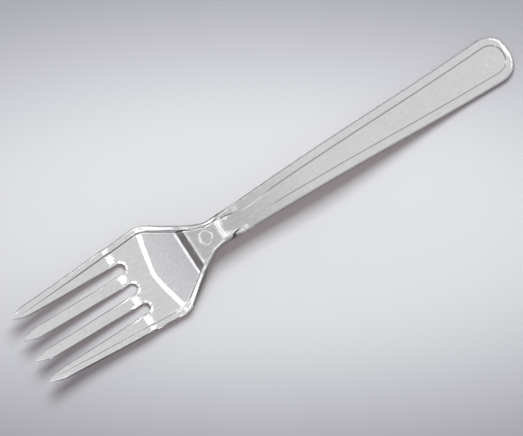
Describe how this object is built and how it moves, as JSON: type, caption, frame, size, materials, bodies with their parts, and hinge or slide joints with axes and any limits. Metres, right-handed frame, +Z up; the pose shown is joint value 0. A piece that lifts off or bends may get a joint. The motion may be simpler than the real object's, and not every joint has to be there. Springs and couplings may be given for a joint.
{
  "type": "clear plastic disposable fork",
  "caption": "Clear moulded plastic fork, 165 mm long, with tapering pointed tines, a shallow bowl with a raised rim, a stepped neck pocket and a bordered handle.",
  "frame": {"origin": "middle of the fork's box on the table that it lies on: the belly and the pad under the handle's end touch z = 0", "axes": "+X along the length from the tine tips to the handle's end, +Y across, +Z up with the hollow side up"},
  "size_m": [0.165, 0.0294, 0.01],
  "materials": {
    "clear_polystyrene": "clear injection-moulded polystyrene with a polished mould surface"
  },
  "bodies": {
    "root": {"fork": "clear_polystyrene"}
  },
  "joints": []
}
